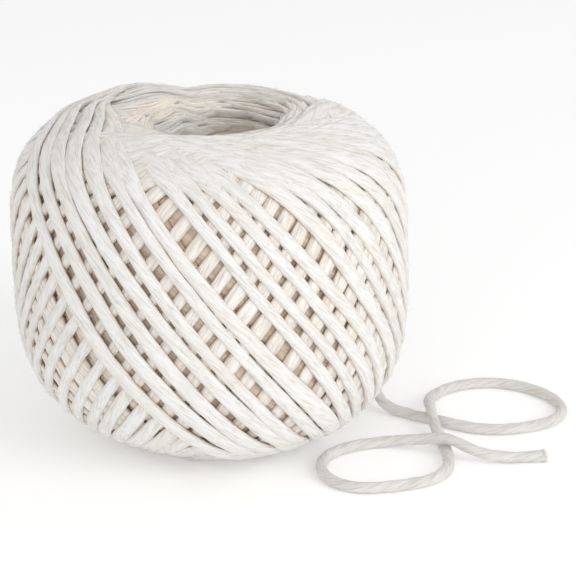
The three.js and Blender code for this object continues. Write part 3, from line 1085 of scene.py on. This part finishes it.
def floor_material():
    """A plain pale floor with the faintest unevenness."""
    material, tree = new_material("pale_floor")
    place = add(tree, "ShaderNodeTexCoord", {})
    noise = add(tree, "ShaderNodeTexNoise", {
        "Vector": place.outputs["Object"], "Scale": 3.0, "Detail": 2.0,
    }).outputs["Fac"]
    colour = mix_colour(tree, noise, (0.93, 0.93, 0.93, 1.0), (0.95, 0.95, 0.95, 1.0))
    shader = add(tree, "ShaderNodeBsdfPrincipled", {
        "Base Color": colour, "Roughness": 0.9, "Specular IOR Level": 0.1,
        "Emission Color": (*WHITE, 1.0), "Emission Strength": 0.16,
    })
    add(tree, "ShaderNodeOutputMaterial", {"Surface": shader.outputs[0]})
    return material


# ---- camera, floor and light

# In metres: the camera's place, how far down it looks in degrees, and its lens and film in
# millimetres; the floor; and each square soft light's name, place, size, power and colour.
CAMERA_PLACE = (0.01634, -0.480, 0.2043)
CAMERA_LOOKS_DOWN = 19.77
CAMERA_LENS = 147.2
CAMERA_FILM = 36.0
FLOOR_RADIUS = 3.0
FLOOR_HEIGHT = -0.00002
FLOOR_SIDES = 96
LIT_POINT = (0.0, 0.0, 0.035)
LIGHTS = (
    ("key", (0.70, -0.56, 0.46), 0.55, 2.9, (1.0, 0.99, 0.98)),
    ("fill", (-0.12, -0.90, 0.40), 0.5, 1.15, (0.98, 0.99, 1.0)),
)
ROOM_LIGHT = 0.75


def camera():
    """The camera, level across, looking down at the ball from in front."""
    data = bpy.data.cameras.new("camera")
    data.sensor_width = CAMERA_FILM
    data.lens = CAMERA_LENS
    data.clip_start = 0.01
    thing = in_scene("camera", data)
    thing.location = CAMERA_PLACE
    thing.rotation_euler = (np.radians(90.0 - CAMERA_LOOKS_DOWN), 0.0, 0.0)
    bpy.context.scene.camera = thing


def floor():
    """A wide flat disc just under the ball."""
    mesh = bpy.data.meshes.new("floor")
    t = np.linspace(0.0, 2 * np.pi, FLOOR_SIDES, endpoint=False)
    x, y = FLOOR_RADIUS * np.cos(t), FLOOR_RADIUS * np.sin(t)
    rim = np.stack([x, y, np.full_like(t, FLOOR_HEIGHT)], -1)
    mesh.from_pydata([tuple(p) for p in rim], [], [tuple(range(FLOOR_SIDES))])
    mesh.materials.append(floor_material())
    in_scene("floor", mesh)


def soft_light(name, place, size, power, colour):
    """A square soft light at a place, turned to face the ball's middle."""
    data = bpy.data.lights.new(name, "AREA")
    data.size = size
    data.energy = power
    data.color = colour
    thing = in_scene(name, data)
    away = unit(np.array(place) - np.array(LIT_POINT))
    yaw = np.arctan2(away[0], -away[1])
    tilt = np.arccos(away[2])
    thing.location = place
    thing.rotation_euler = (tilt, 0.0, yaw)


def studio():
    """A bright even room with one large soft light from the right and a weaker one in front."""
    world = bpy.data.worlds.new("studio")
    world.use_nodes = True
    background = world.node_tree.nodes["Background"]
    background.inputs["Color"].default_value = (*WHITE, 1.0)
    background.inputs["Strength"].default_value = ROOM_LIGHT
    bpy.context.scene.world = world
    for light in LIGHTS:
        soft_light(*light)
    bpy.context.scene.view_settings.view_transform = "Standard"


# ---- the ball

camera()
winding = Winding()
# The loose end's cotton is the same, made darker by its brightness: painted shade.
shaded_loose_cotton = cotton(
    "shaded_loose_cotton", plies=LOOSE_TWIST["plies"], ply_depth=0.11, fibres_round=24.0,
    brightness=0.87, relief=STRING_RELIEF,
)
wound_cotton = cotton(
    "wound_cotton", plies=WOUND_TWIST["plies"], ply_depth=0.1, fibres_round=28.0,
    brightness=1.0, relief=STRING_RELIEF,
)
fine_cotton = cotton(
    "fine_cotton", plies=1, ply_depth=0.0, fibres_round=3.0,
    brightness=1.0, relief=SINGLE_FIBRE_RELIEF,
)
for thing in loose_end(winding, shaded_loose_cotton, fine_cotton):
    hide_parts("loose_end")
for row in WOUND_PIECES:
    turns = winding.tube(*row, wound_cotton)
    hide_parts("string_ball")
inside = inside_turns(wound_cotton)
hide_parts("string_ball")
fuzz = stray_fibres(winding, fine_cotton)
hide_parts("string_ball")
floor()
studio()
